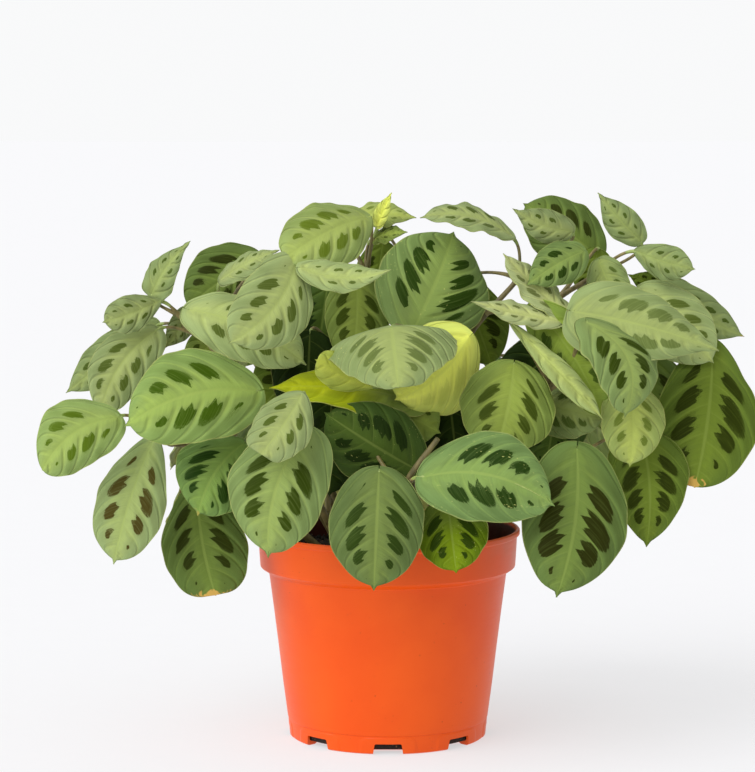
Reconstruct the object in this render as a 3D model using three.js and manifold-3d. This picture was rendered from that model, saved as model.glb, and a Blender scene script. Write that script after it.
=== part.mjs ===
// Prayer plant in a 15 cm plastic nursery pot: a broad, low crown of oval leaves
// on thin stems that rise from the potting soil.
// Millimetres, +Z up. The origin is the middle of the pot's flat underside, and
// the plant's best side looks toward -Y.

import * as THREE from 'three';
import { mergeGeometries, mergeVertices } from 'three/addons/utils/BufferGeometryUtils.js';
import Module from 'manifold-3d';

const wasm = await Module();
wasm.setup();

// Pot
const RIM_R = 75;
const POT_H = 118.5;
const WALL = 1.5;
const FLOOR = 2;
const FOOT_R = 55.6;
const SEAM_Z = 10.4;
const SHOULDER_R = 67.7;
const SHOULDER_Z = 94;
const BAND_R = 72.4;
const BAND_Z = 98;
const LIP_H = 3.5;
const POT_SIDES = 32;
const NOTCHES = 8;
const NOTCH_W = 16;
const NOTCH_H = 6;

// Soil
const SOIL_Z = 106;
const GAP = 0.3;
const HOLE_DEPTH = 12;

// Plant
const STEM_R = 2.2;
const PETIOLE_R = 1.15;
const BLADE_T = 0.9;
const SMALL_LEAF = 28;
const BLADE_DROOP = 0.32;
const PETIOLE_END = 0.08;
const STEM_NODES = 7;

// The leaves of the best side are placed as they line up for an eye standing
// in front of the pot: across and up are measured in the upright plane through
// the pot's axis, and toward is how far in front of that plane the point is.
const EYE = { x: -5.84, distance: 1500, z: 345 };
const FRONT = new THREE.Vector3(0, -1, 0.1).normalize();

// Each stem is a list of points [x, y, z] from the soil up. Each leaf is
// [place on the stem 0..1, base [across, up, toward], tip [across, up, toward],
//  width, roll in degrees, arch of the midrib, sway to the side in mm, fold].
const FRONT_SHOOTS = {
  left_high: {
    stem: [[-26, -8], [-62, -14, 170], [-98, -16, 222], [-117, -19, 241]],
    leaves: [
      [1.00, [-130, 251, 20], [-111, 281, 26], 20, -25, 0.08, -1, 0.25],
      [0.96, [-129, 248, 24], [-160, 237, 38], 17, 0, 0.06, -1, 0.25],
      [0.80, [-131, 233, 2], [-182, 195, 0], 27, 5, 0.07, 0, 0.2],
      [0.86, [-131, 230, 22], [-163, 182, 38], 34, 8, 0.08, 5, 0.2],
      [0.75, [-92, 230, -6], [-118, 206, 4], 22, 0, 0.06, 0, 0.2],
      [0.90, [-112, 242, 4], [-127, 220, 14], 15, -20, 0.06, -1, 0.3],
    ],
  },
  left_mid: {
    stem: [[-36, -18], [-70, -34, 140], [-102, -44, 168], [-120, -50, 172]],
    leaves: [
      [0.72, [-73, 196, 68], [-147, 176, 92], 53, 12, 0.1, 6, 0.15],
      [1.00, [-152, 182, 50], [-194, 152, 64], 39, 4, 0.08, 5, 0.15],
      [0.90, [-133, 168, 60], [-153, 97, 68], 35, 8, 0.07, 3, 0.15],
      [0.62, [-108, 145, 34], [-98, 79, 50], 47, 4, 0.07, 2, 0.15],
      [0.60, [-82, 166, 56], [-108, 125, 74], 46, 6, 0.08, 4, 0.12],
    ],
  },
  left_crown: {
    stem: [[-22, 4], [-46, 2, 160], [-76, -8, 216], [-90, -14, 240]],
    leaves: [
      [0.90, [-112, 242, 36], [-46, 211, 48], 42, -30, 0.08, -3, 0.2],
      [0.86, [-52, 269, 52], [-90, 223, 84], 42, -12, 0.08, -6, 0.2],
      [1.00, [-70, 274, -34], [-107, 244, -16], 44, 10, 0.08, 0, 0.15],
      [0.96, [-94, 259, 12], [-63, 275, 20], 18, -45, 0.06, 0, 0.2],
    ],
  },
  left_front: {
    stem: [[-24, -30], [-38, -52, 140], [-46, -66, 164], [-50, -72, 178]],
    leaves: [
      [0.80, [-46, 173, 92], [-68, 101, 114], 53, 6, 0.07, 4, 0.15],
      [1.00, [-50, 196, 98], [-75, 160, 116], 34, 6, 0.2, 2, 0.15],
      [0.90, [-38, 222, 16], [-72, 186, 30], 44, 4, 0.08, 0, 0.15],
      [0.70, [-24, 172, 36], [-32, 118, 50], 38, 0, 0.08, 0, 0.15],
    ],
  },
  top_left: {
    stem: [[-8, 6], [-12, 6, 170], [-12, 2, 230], [-12, -4, 262]],
    leaves: [
      [1.00, [-15, 299, 12], [-55, 270, 54], 45, 14, 0.12, -1, 0.15],
      [0.90, [-49, 269, 40], [1, 266, 44], 22, -30, -0.06, 3, 0.3],
      [0.84, [-18, 261, 14], [-21, 211, 32], 36, 0, 0.08, -2, 0.15],
      [0.80, [-34, 256, -8], [-40, 212, 4], 40, 0, 0.08, 0, 0.15],
      [0.97, [-21, 296, -12], [14, 296, -6], 21, -50, 0.06, 1, 0.3],
      [0.99, [-6, 289, 2], [2, 308, 8], 9, -20, 0.05, 0, 0.5],
      [0.93, [-8, 283, -2], [11, 286, 8], 16, -50, 0.06, 1, 0.3],
    ],
  },
  heart: {
    stem: [[10, -6], [20, -16, 160], [26, -26, 206], [24, -34, 224]],
    leaves: [
      [0.95, [12, 230, 38], [35, 285, 6], 63, 6, 0.07, 1, 0.12],
      [1.00, [4, 234, 62], [12, 198, 106], 71, 0, 0.1, 0, 0.1],
      [0.90, [46, 231, 52], [4, 192, 62], 52, -10, -0.06, 0, -0.2],
      [0.85, [10, 192, 76], [-64, 202, 76], 36, 56, 0.06, 0, 0.25],
      [0.80, [34, 198, 14], [40, 148, 28], 38, 0, 0.08, 0, 0.15],
    ],
  },
  front: {
    stem: [[14, -34], [14, -52, 130], [12, -66, 150], [12, -74, 160]],
    leaves: [
      [0.90, [17, 151, 60], [-36, 184, 70], 46, -8, 0.1, 0, 0.15],
      [0.80, [-20, 188, 34], [27, 172, 46], 42, -20, 0.1, 0, 0.15],
      [0.70, [-5, 153, 100], [-8, 82, 116], 54, 0, 0.07, 0, 0.15],
      [1.00, [20, 149, 100], [95, 130, 118], 52, -10, 0.08, -9, 0.12],
      [0.60, [36, 133, 84], [40, 93, 102], 39, 0, 0.06, 0, 0.2],
    ],
  },
  right_high: {
    stem: [[22, -4], [42, -8, 170], [58, -14, 232], [72, -16, 258]],
    leaves: [
      [1.00, [36, 250, -14], [52, 217, -4], 31, 0, 0.08, 0, 0.15],
      [1.00, [70, 281, 14], [18, 292, 26], 29, 66, 0.1, 2, 0.3],
      [0.99, [103, 286, 16], [70, 299, 30], 19, -8, 0.05, -2, 0.25],
      [0.96, [111, 277, 24], [80, 258, 44], 25, 6, 0.06, 1, 0.2],
      [1.00, [96, 236, 62], [47, 247, 76], 18, 55, -0.02, 0, 0.3],
      [0.90, [105, 237, 36], [65, 274, 26], 27, 62, -0.06, 0, 0.3],
    ],
  },
  right_crown: {
    stem: [[30, 16], [54, 22, 170], [86, 16, 236], [116, -4, 262]],
    leaves: [
      [0.90, [118, 272, -26], [76, 302, -36], 40, 14, 0.08, 0, 0.15],
      [1.00, [142, 281, 10], [118, 308, 12], 17, -8, 0.05, -1, 0.3],
      [0.98, [139, 277, 16], [171, 268, 30], 18, 8, 0.06, 1, 0.2],
      [0.94, [117, 273, 12], [130, 242, 24], 25, 0, 0.06, 2, 0.2],
      [0.92, [121, 286, -18], [111, 250, -26], 27, 6, 0.06, 0, 0.2],
    ],
  },
  right_side: {
    stem: [[38, 2], [82, 4, 172], [124, -4, 218], [150, -10, 230]],
    leaves: [
      [1.00, [154, 255, -4], [200, 228, -6], 26, -6, 0.05, 0, 0.2],
      [0.94, [144, 258, 14], [186, 219, 34], 40, -6, 0.08, 0, 0.15],
      [0.85, [150, 216, -6], [153, 158, 6], 44, 0, 0.08, 0, 0.15],
      [0.90, [183, 222, 14], [174, 141, 38], 57, 0, 0.06, 0, 0.15],
      [0.80, [105, 239, 66], [187, 219, 78], 46, -20, 0.08, 0, 0.2],
    ],
  },
  right_front: {
    stem: [[30, -18], [60, -36, 160], [88, -48, 202], [100, -54, 216]],
    leaves: [
      [1.00, [111, 235, 56], [132, 184, 88], 44, -35, 0.13, -8, 0.15],
      [0.90, [89, 238, 44], [121, 180, 66], 30, 22, 0.05, -4, 0.5],
      [0.70, [71, 211, 58], [60, 158, 82], 52, 4, 0.07, -2, 0.15],
      [0.85, [136, 200, 62], [137, 153, 78], 35, 0, 0.07, -2, 0.2],
      [0.95, [98, 220, 6], [60, 194, 20], 34, 0, 0.08, 0, 0.15],
      [0.80, [98, 206, 22], [92, 158, 34], 38, 0, 0.08, 0, 0.15],
      [0.75, [86, 188, 40], [123, 180, 56], 34, -20, 0.08, 0, 0.2],
    ],
  },
  right_low: {
    stem: [[34, -24], [62, -44, 130], [88, -60, 152], [98, -66, 158]],
    leaves: [
      [1.00, [107, 163, 88], [97, 79, 106], 56, 0, 0.07, -3, 0.12],
      [0.90, [144, 170, 50], [147, 109, 66], 43, 4, 0.07, -3, 0.15],
    ],
  },
};

// The shoots of the far side stand round the back, and each carries leaves in
// tiers from low and hanging to high and nearly flat:
// [place on the stem, base radius, base height, tip radius, tip height,
//  turn from the shoot's own direction in degrees, width, roll].
const BACK_DIRECTIONS = [12, 40, 68, 96, 124, 152];
const BACK_STEM = [[26], [40, 150], [46, 190], [38, 222]];
const TIERS = [
  [0.45, 112, 150, 130, 90, 14, 46, 6],
  [0.70, 106, 188, 152, 142, -3, 48, -8],
  [0.86, 88, 214, 140, 196, 13, 46, 10],
  [0.95, 58, 230, 106, 220, -4, 38, -6],
  [1.00, 26, 240, 72, 244, 10, 38, 8],
];

const LEAF_GREENS = [0x6f9a4c, 0x86a655, 0x5d8a45, 0x93ad62, 0x4c7a3c, 0x7f9f4a];
const POT_ORANGE = 0xe8571c;
const SOIL_BROWN = 0x2e2119;

// A closed three.js geometry as a solid that can be joined and cut.
function toSolid(geometry) {
  const plain = geometry.clone();
  plain.deleteAttribute('normal');
  plain.deleteAttribute('uv');
  const merged = mergeVertices(plain, 1e-4);
  return new wasm.Manifold(new wasm.Mesh({
    numProp: 3,
    vertProperties: new Float32Array(merged.attributes.position.array),
    triVerts: new Uint32Array(merged.index.array),
  }));
}

function toGeometry(solid) {
  const mesh = solid.getMesh();
  const geometry = new THREE.BufferGeometry();
  geometry.setAttribute('position', new THREE.BufferAttribute(mesh.vertProperties, 3));
  geometry.setIndex(new THREE.BufferAttribute(mesh.triVerts, 1));
  geometry.computeVertexNormals();
  return geometry;
}

function fuse(solids) {
  return solids.reduce((whole, solid) => whole.add(solid));
}

// Where a petiole meets a curved blade a tiny pocket can stay closed in: fill it.
function fillPockets(solid) {
  return fuse(solid.decompose().filter((part) => part.volume() > 0));
}

function polygon(radius, sides) {
  const corners = [];
  for (let i = 0; i < sides; i += 1) {
    const angle = 2 * Math.PI * (i + 0.5) / sides;
    corners.push(new THREE.Vector2(radius * Math.cos(angle), radius * Math.sin(angle)));
  }
  return new THREE.Shape(corners);
}

function rod(curve, radius, sides, steps) {
  const geometry = new THREE.ExtrudeGeometry(polygon(radius, sides), {
    steps,
    bevelEnabled: false,
    extrudePath: curve,
  });
  return toSolid(geometry);
}

function peg(x, y, radius, low, high) {
  const geometry = new THREE.CylinderGeometry(radius, radius, high - low, 6);
  geometry.rotateX(Math.PI / 2);
  geometry.translate(x, y, (low + high) / 2);
  return toSolid(geometry);
}

// Leaf outline: half width along the blade, 1 at its widest, rounded at the
// base and drawn out to a short point.
function outline(t) {
  return Math.max(0.03, Math.sin(Math.PI * t ** 0.93) ** 0.6);
}

// The arched and folded surface of one leaf, as a function of the distance t
// along it (0 at the base, 1 at the tip), the distance q across it (-1 to 1),
// and the lift off the surface in mm.
function leafSurface({ base, tip, face, form: [width, roll, arch, sway, fold] }) {
  const axis = tip.clone().sub(base);
  const length = axis.length();
  axis.normalize();
  const normal = face.clone().addScaledVector(axis, -face.dot(axis)).normalize();
  normal.applyAxisAngle(axis, THREE.MathUtils.degToRad(roll));
  const side = new THREE.Vector3().crossVectors(axis, normal);
  return (t, q, lift = 0) => {
    const half = (width / 2) * outline(t);
    const bow = 4 * t * (1 - t);
    const curl = half * (fold * Math.abs(q) - BLADE_DROOP * q * q);
    return base.clone()
      .addScaledVector(axis, length * t)
      .addScaledVector(side, half * q + bow * sway)
      .addScaledVector(normal, bow * length * arch + curl + lift);
  };
}

// One blade: an upper and a lower skin that meet at the margin.
function blade(surface, width) {
  const rows = width < SMALL_LEAF ? 4 : 5;
  const skins = [1, -1].map((facing) => {
    const skin = new THREE.PlaneGeometry(2, 2, 4, rows);
    const place = skin.attributes.position;
    for (let i = 0; i < place.count; i += 1) {
      const [q, row] = [place.getX(i), place.getY(i)];
      const t = 0.5 + 0.5 * Math.sin(row * Math.PI / 2);
      const rim = Math.abs(q) > 0.99 || Math.abs(row) > 0.99;
      const point = surface(t, q, rim ? 0 : facing * BLADE_T / 2);
      place.setXYZ(i, point.x, point.y, point.z);
    }
    if (facing < 0) {
      const index = skin.index;
      for (let i = 0; i < index.count; i += 3) {
        const second = index.getX(i + 1);
        index.setX(i + 1, index.getX(i + 2));
        index.setX(i + 2, second);
      }
    }
    return skin;
  });
  return toSolid(mergeGeometries(skins));
}

// One shoot: a stem, and for each leaf a petiole that bends into the blade.
function shoot(points, leaves) {
  const [x, y] = points[0].toArray();
  const foot = new THREE.Vector3(x, y, SOIL_Z + 1);
  const stem = new THREE.CatmullRomCurve3([foot, ...points.slice(1)]);
  const nodes = stem.getSpacedPoints(STEM_NODES);
  const solids = [
    peg(x, y, STEM_R + 0.3, SOIL_Z - HOLE_DEPTH + GAP, SOIL_Z + 2.5),
    rod(stem, STEM_R, 4, STEM_NODES),
  ];
  for (const leaf of leaves) {
    const surface = leafSurface(leaf);
    const node = Math.round(leaf.on * STEM_NODES);
    const along = stem.getTangentAt(node / STEM_NODES);
    const from = nodes[node].clone().addScaledVector(along, -STEM_R);
    const reach = from.distanceTo(leaf.base);
    const ahead = leaf.tip.clone().sub(leaf.base).normalize();
    const curve = new THREE.CubicBezierCurve3(
      from,
      from.clone().addScaledVector(along, 0.2 * reach),
      leaf.base.clone().addScaledVector(ahead, -0.3 * reach),
      surface(PETIOLE_END, 0),
    );
    solids.push(rod(curve, PETIOLE_R, 3, 4));
    solids.push(blade(surface, leaf.form[0]));
  }
  return toGeometry(fillPockets(fuse(solids)));
}

function seen([across, up, toward]) {
  const k = (EYE.distance - toward) / EYE.distance;
  return new THREE.Vector3(EYE.x + (across - EYE.x) * k, -toward, EYE.z + (up - EYE.z) * k);
}

function frontShoot({ stem, leaves }) {
  const points = stem.map(([x, y, z = SOIL_Z]) => new THREE.Vector3(x, y, z));
  const placed = leaves.map(([on, base, tip, ...form]) => ({
    on,
    base: seen(base),
    tip: seen(tip),
    face: FRONT,
    form,
  }));
  return shoot(points, placed);
}

// A small repeatable scatter between -1 and 1, so that no two tiers are alike.
let scatterState = 11;
function scatter() {
  scatterState = (scatterState * 16807) % 2147483647;
  return (scatterState / 2147483647) * 2 - 1;
}

function backShoot(direction, k) {
  const around = (radius, z, turn = 0) => {
    const angle = THREE.MathUtils.degToRad(direction + turn);
    return new THREE.Vector3(radius * Math.cos(angle), radius * Math.sin(angle), z);
  };
  const points = BACK_STEM.map(([radius, z = SOIL_Z]) => around(radius, z));
  const placed = [];
  TIERS.forEach(([on, baseR, baseZ, tipR, tipZ, turn, width, roll], tier) => {
    const sideOfFront = k === 0 && tier === 3;
    const noCrownLeaf = tier === 4 && k !== 1 && k !== 3;
    if (sideOfFront || noCrownLeaf) {
      return;
    }
    const up = tier === 3 ? (k % 2) * 12 : 0;
    const s = Array.from({ length: 6 }, scatter);
    const base = around(baseR + s[0] * 5, baseZ + up + s[1] * 5, turn + s[2] * 2);
    const tip = around(tipR + s[3] * 7, tipZ + up + s[4] * 8, turn + s[5] * 5);
    const face = new THREE.Vector3(base.x + tip.x, base.y + tip.y, 120).normalize();
    const form = [width + s[0] * 4, roll + s[3] * 8, 0.09, s[4] * 4, 0.15];
    placed.push({ on, base, tip, face, form });
  });
  return shoot(points, placed);
}

function lathe(profile) {
  const points = profile.map(([r, z]) => new THREE.Vector2(r, z));
  const geometry = new THREE.LatheGeometry(points, POT_SIDES);
  geometry.rotateX(Math.PI / 2);
  return geometry;
}

// The pot's outer line, from the foot up to the lip.
const OUTSIDE = [
  [FOOT_R, 0],
  [FOOT_R + 0.8, SEAM_Z - 0.4],
  [FOOT_R + 1.2, SEAM_Z],
  [SHOULDER_R, SHOULDER_Z],
  [SHOULDER_R + 2.6, SHOULDER_Z + 1.5],
  [BAND_R, BAND_Z],
  [BAND_R + 1.1, POT_H - LIP_H],
  [RIM_R - 0.3, POT_H - LIP_H + 1],
  [RIM_R, POT_H - 0.6],
  [RIM_R - 0.6, POT_H],
];
// The inner line, from the lip down to the floor.
const INSIDE = [
  [RIM_R - 2, POT_H],
  [RIM_R - 2.8, POT_H - LIP_H + 0.5],
  [BAND_R - WALL, BAND_Z + 1.5],
  [SHOULDER_R - WALL + 0.1, SHOULDER_Z + 2.5],
  [FOOT_R - WALL + 0.3, FLOOR],
];

function pot() {
  const body = toSolid(lathe([[0, 0], ...OUTSIDE, ...INSIDE, [0, FLOOR]]));
  const half = NOTCH_W / 2;
  const notch = new THREE.Shape();
  notch.moveTo(-half, -1);
  notch.lineTo(half, -1);
  notch.lineTo(half - 0.5, NOTCH_H - 1.6);
  notch.lineTo(half - 2, NOTCH_H);
  notch.lineTo(-half + 2, NOTCH_H);
  notch.lineTo(-half + 0.5, NOTCH_H - 1.6);
  const cutters = [];
  for (let i = 0; i < NOTCHES; i += 1) {
    const cutter = new THREE.ExtrudeGeometry(notch, { depth: 9, bevelEnabled: false });
    cutter.rotateX(Math.PI / 2);
    cutter.translate(0, -FOOT_R + 6, 0);
    cutter.rotateZ(2 * Math.PI * i / NOTCHES);
    cutters.push(toSolid(cutter));
  }
  return toGeometry(body.subtract(fuse(cutters)));
}

// The soil fills the pot with a small gap all round, and each stem stands in a
// plain hole in it.
function soil(roots) {
  const edge = INSIDE.slice(2).map(([r, z]) => [r - GAP, z]);
  const bandR = edge[0][0] + (SOIL_Z - BAND_Z) * 0.07;
  const profile = [
    [0, FLOOR + GAP],
    [edge[2][0] - 0.2, FLOOR + GAP],
    [edge[1][0] - GAP, edge[1][1] + GAP],
    [edge[0][0], edge[0][1] + 2 * GAP],
    [bandR, SOIL_Z - 1],
    [bandR - 3, SOIL_Z],
    [0, SOIL_Z],
  ];
  const holes = roots.map(([x, y]) => (
    peg(x, y, STEM_R + 0.3 + GAP * 1.1, SOIL_Z - HOLE_DEPTH, SOIL_Z + 3)
  ));
  return toGeometry(toSolid(lathe(profile)).subtract(fuse(holes)));
}

const plant = new THREE.Group();

function addPiece(name, geometry, color, roughness) {
  const material = new THREE.MeshStandardMaterial({ color, roughness, metalness: 0 });
  const mesh = new THREE.Mesh(geometry, material);
  mesh.name = name;
  plant.add(mesh);
}

const roots = Object.values(FRONT_SHOOTS).map(({ stem }) => stem[0]);
for (const direction of BACK_DIRECTIONS) {
  const angle = THREE.MathUtils.degToRad(direction);
  roots.push([BACK_STEM[0][0] * Math.cos(angle), BACK_STEM[0][0] * Math.sin(angle)]);
}

addPiece('pot', pot(), POT_ORANGE, 0.45);
addPiece('soil', soil(roots), SOIL_BROWN, 0.95);
Object.entries(FRONT_SHOOTS).forEach(([name, form], i) => {
  addPiece(`shoot_${name}`, frontShoot(form), LEAF_GREENS[i % LEAF_GREENS.length], 0.55);
});
BACK_DIRECTIONS.forEach((direction, k) => {
  const green = LEAF_GREENS[(k + 2) % LEAF_GREENS.length];
  addPiece(`shoot_back_${k + 1}`, backShoot(direction, k), green, 0.55);
});

export default plant;
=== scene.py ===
import math

import bpy
import numpy as np
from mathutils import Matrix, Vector
from mathutils.geometry import interpolate_bezier


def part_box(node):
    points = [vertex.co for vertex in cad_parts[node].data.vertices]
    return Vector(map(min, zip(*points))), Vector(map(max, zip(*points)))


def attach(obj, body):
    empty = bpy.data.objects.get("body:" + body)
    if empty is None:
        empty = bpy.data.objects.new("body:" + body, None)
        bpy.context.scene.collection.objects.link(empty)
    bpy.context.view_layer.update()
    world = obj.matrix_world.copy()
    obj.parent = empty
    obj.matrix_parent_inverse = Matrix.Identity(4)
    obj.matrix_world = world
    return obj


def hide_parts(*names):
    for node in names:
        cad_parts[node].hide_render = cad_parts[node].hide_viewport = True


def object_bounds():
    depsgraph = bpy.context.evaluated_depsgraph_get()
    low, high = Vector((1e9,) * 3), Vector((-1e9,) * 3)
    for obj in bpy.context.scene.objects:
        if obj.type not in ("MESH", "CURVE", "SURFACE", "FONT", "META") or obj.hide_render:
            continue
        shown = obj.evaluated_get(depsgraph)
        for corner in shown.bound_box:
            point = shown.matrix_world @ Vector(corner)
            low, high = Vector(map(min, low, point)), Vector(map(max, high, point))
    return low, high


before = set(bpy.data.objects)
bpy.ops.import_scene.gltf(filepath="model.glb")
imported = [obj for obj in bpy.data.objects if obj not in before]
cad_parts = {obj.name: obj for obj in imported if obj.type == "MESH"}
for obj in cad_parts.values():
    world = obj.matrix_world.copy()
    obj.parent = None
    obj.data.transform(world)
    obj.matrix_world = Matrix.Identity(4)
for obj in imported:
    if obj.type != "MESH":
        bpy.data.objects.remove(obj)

cad_low, cad_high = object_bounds()

# Camera
# It stands 1.5 m in front of the pot, a little to the left and just higher than
# the topmost leaves, and looks slightly down. The picture is 755 x 772 pixels.
MM = 0.001
EYE = Vector((-5.84, -1500, 345)) * MM
TILT_DOWN = math.radians(5.56)
FOCAL_PIXELS = 2667
PICTURE_HEIGHT = 772
SENSOR = 36

bpy.ops.object.select_all(action="DESELECT")
bpy.ops.object.camera_add(location=EYE, rotation=(math.pi / 2 - TILT_DOWN, 0, 0))
camera = bpy.context.object
camera.data.sensor_width = SENSOR
camera.data.lens = SENSOR * FOCAL_PIXELS / PICTURE_HEIGHT
bpy.context.scene.camera = camera
bpy.context.scene.view_settings.view_transform = "Standard"

# Floor and light
# A plain pale floor under a white sky that lights less from the right, and one
# large soft light from the upper left in front. The floor is lit from beneath
# too, like a light table, so that shadows on it stay faint.
FLOOR_HALF = 60
FLOOR_CELLS = 8
SKY_TINT = (0.99, 0.995, 1.0, 1)
SKY_LIGHT = 0.78
SKY_SHOWN = 0.955
SKY_FALLS = 0.32
FLOOR_GLOW = 0.58
LIGHT_FROM = Vector((-0.62, -0.55, 0.62))
LIGHT_POWER = 1.75
LIGHT_SPREAD = math.radians(50)


def rgb(red, green, blue):
    """A colour given as it looks on a screen, 0 to 255, as the numbers that shaders take."""
    shown = [channel / 255 for channel in (red, green, blue)]
    return tuple(c / 12.92 if c <= 0.04045 else ((c + 0.055) / 1.055) ** 2.4 for c in shown)


class Shader:
    """The nodes of one material, made with short calls. A call returns the output socket."""

    def __init__(self, name):
        self.material = bpy.data.materials.new(name)
        self.material.use_nodes = True
        self.tree = self.material.node_tree
        self.surface = self.tree.nodes["Principled BSDF"]

    def add(self, kind, inputs, output=0, **settings):
        node = self.tree.nodes.new(kind)
        for name, value in settings.items():
            setattr(node, name, value)
        for key, value in inputs.items():
            self.set(node, key, value)
        return node.outputs[output]

    def set(self, node, key, value):
        if isinstance(value, bpy.types.NodeSocket):
            self.tree.links.new(value, node.inputs[key])
        elif hasattr(value, "__len__") and node.inputs[key].type == "RGBA":
            node.inputs[key].default_value = (*value, 1)
        else:
            node.inputs[key].default_value = value

    def finish(self, **values):
        for key, value in values.items():
            self.set(self.surface, key.replace("_", " "), value)
        return self.material

    def maths(self, operation, *terms):
        return self.add("ShaderNodeMath", dict(enumerate(terms)), operation=operation)

    def rise(self, value, low, high):
        """0 where value is under low, 1 where it is over high, and smooth between."""
        inputs = {"Value": value, "From Min": low, "From Max": high}
        return self.add("ShaderNodeMapRange", inputs, interpolation_type="SMOOTHSTEP")

    def mix(self, share, first, second, way="MIX"):
        inputs = {"Factor": share, "A": first, "B": second}
        node = self.tree.nodes.new("ShaderNodeMix")
        node.data_type = "RGBA"
        node.blend_type = way
        for socket in node.inputs:
            if socket.enabled and socket.name in inputs:
                value = inputs[socket.name]
                if isinstance(value, bpy.types.NodeSocket):
                    self.tree.links.new(value, socket)
                else:
                    socket.default_value = (*value, 1) if socket.type == "RGBA" else value
        return next(socket for socket in node.outputs if socket.enabled)

    def noise(self, vector, scale, detail=2, roughness=0.5):
        inputs = {"Vector": vector, "Scale": scale, "Detail": detail, "Roughness": roughness}
        return self.add("ShaderNodeTexNoise", inputs)

    def vector(self, x, y, z):
        return self.add("ShaderNodeCombineXYZ", {0: x, 1: y, 2: z})

    def attribute(self, name):
        """A vector that the mesh holds, as its colour socket and its three parts."""
        whole = self.add("ShaderNodeAttribute", {}, output="Vector", attribute_name=name)
        split = self.tree.nodes.new("ShaderNodeSeparateXYZ")
        self.tree.links.new(whole, split.inputs[0])
        return whole, *split.outputs

    def object_place(self):
        return self.add("ShaderNodeTexCoord", {}, output="Object")

    def bump(self, height, distance, strength=1.0):
        inputs = {"Height": height, "Distance": distance, "Strength": strength}
        return self.add("ShaderNodeBump", inputs)


bpy.ops.object.select_all(action="DESELECT")
bpy.ops.mesh.primitive_grid_add(
    x_subdivisions=FLOOR_CELLS, y_subdivisions=FLOOR_CELLS, size=2 * FLOOR_HALF
)
floor = bpy.context.object
floor.name = "floor"
floor_paint = Shader("floor_paint")
speckle = floor_paint.noise(floor_paint.object_place(), 40)
floor_tone = floor_paint.mix(speckle, rgb(157, 157, 159), rgb(159, 159, 161))
floor.data.materials.append(
    floor_paint.finish(
        Base_Color=floor_tone,
        Roughness=0.9,
        Specular_IOR_Level=0,
        Emission_Color=rgb(254, 254, 255),
        Emission_Strength=FLOOR_GLOW,
    )
)

sky = bpy.data.worlds.new("sky")
sky.use_nodes = True
bpy.context.scene.world = sky
light_path = sky.node_tree.nodes.new("ShaderNodeLightPath")
toward = sky.node_tree.nodes.new("ShaderNodeTexCoord")
toward_x = sky.node_tree.nodes.new("ShaderNodeSeparateXYZ")
sky.node_tree.links.new(toward.outputs["Generated"], toward_x.inputs[0])
falling = sky.node_tree.nodes.new("ShaderNodeMapRange")
falling.inputs["From Min"].default_value = -1
falling.inputs["To Min"].default_value = SKY_LIGHT * (1 + SKY_FALLS)
falling.inputs["To Max"].default_value = SKY_LIGHT * (1 - SKY_FALLS)
sky.node_tree.links.new(toward_x.outputs["X"], falling.inputs["Value"])
strength = sky.node_tree.nodes.new("ShaderNodeMapRange")
sky.node_tree.links.new(falling.outputs[0], strength.inputs["To Min"])
strength.inputs["To Max"].default_value = SKY_SHOWN
background = sky.node_tree.nodes["Background"]
background.inputs["Color"].default_value = SKY_TINT
sky.node_tree.links.new(light_path.outputs["Is Camera Ray"], strength.inputs["Value"])
sky.node_tree.links.new(strength.outputs[0], background.inputs["Strength"])

bpy.ops.object.light_add(type="SUN", rotation=LIGHT_FROM.to_track_quat("Z", "Y").to_euler())
window = bpy.context.object
window.name = "window_light"
window.data.angle = LIGHT_SPREAD
window.data.energy = LIGHT_POWER

# Pot
# A thin injection-moulded nursery pot in bright orange polypropylene: a tapered
# wall, a sloping shoulder, a rim band with a rolled lip, and a foot that is cut
# by eight drainage notches, each in the middle of a slightly raised pad.
FOOT_R = 55.6 * MM
NOTCHES = 8
NOTCH_TOP_WIDTH = 14.8 * MM
NOTCH_FOOT_WIDTH = 17 * MM
NOTCH_HEIGHT = 6 * MM
NOTCH_DEPTH = 9 * MM
NOTCH_ROUNDING = 0.8 * MM
CUT_PAST_WALL = 2 * MM
CUT_PAST_FOOT = 1 * MM
PAD_WIDTH = 32 * MM
PAD_HEIGHT = 9.6 * MM
PAD_RAISED = 0.35 * MM
POT_SIDES = 512
POT_CREASE = math.radians(24)
# Radius and height from the middle of the floor's underside, out to the foot,
# up the outside, over the lip, down the inside and back along the floor, in mm.
POT_LINE = [
    (20, 0.8), (40, 0.8), (49, 0.8), (50.2, 0), (54.4, 0), (55.2, 0.2), (55.65, 0.7),
    (55.8, 1.5), (55.9, 2.7), (56, 4), (56.1, 5.4), (56.2, 6.6), (56.25, 7.6), (56.3, 8.4),
    (56.35, 9), (56.4, 9.6), (56.42, 10.1), (56.9, 10.5), (57.05, 10.9), (57.15, 11.6),
    (59.7, 31), (62.2, 52), (64.8, 73), (67, 90), (67.5, 93.7), (67.9, 94.3), (69.9, 95.5),
    (72, 96.9), (72.35, 97.3), (72.45, 98), (72.9, 105), (73.3, 113), (73.4, 114.6),
    (73.7, 115.1), (74.5, 115.2), (74.9, 115.6), (75, 116.6), (74.9, 117.7), (74.4, 118.35),
    (73.8, 118.5), (73, 118.3), (72.5, 117.7), (72.2, 116.4), (71.7, 112), (71.1, 104),
    (70.9, 99), (70.3, 98), (67.2, 96.4), (66.3, 95.4), (65.1, 87), (62.2, 64), (58.7, 36),
    (55.7, 12), (54.7, 3.4), (53.6, 2.3), (50, 2.1), (30, 2.1),
]

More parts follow.
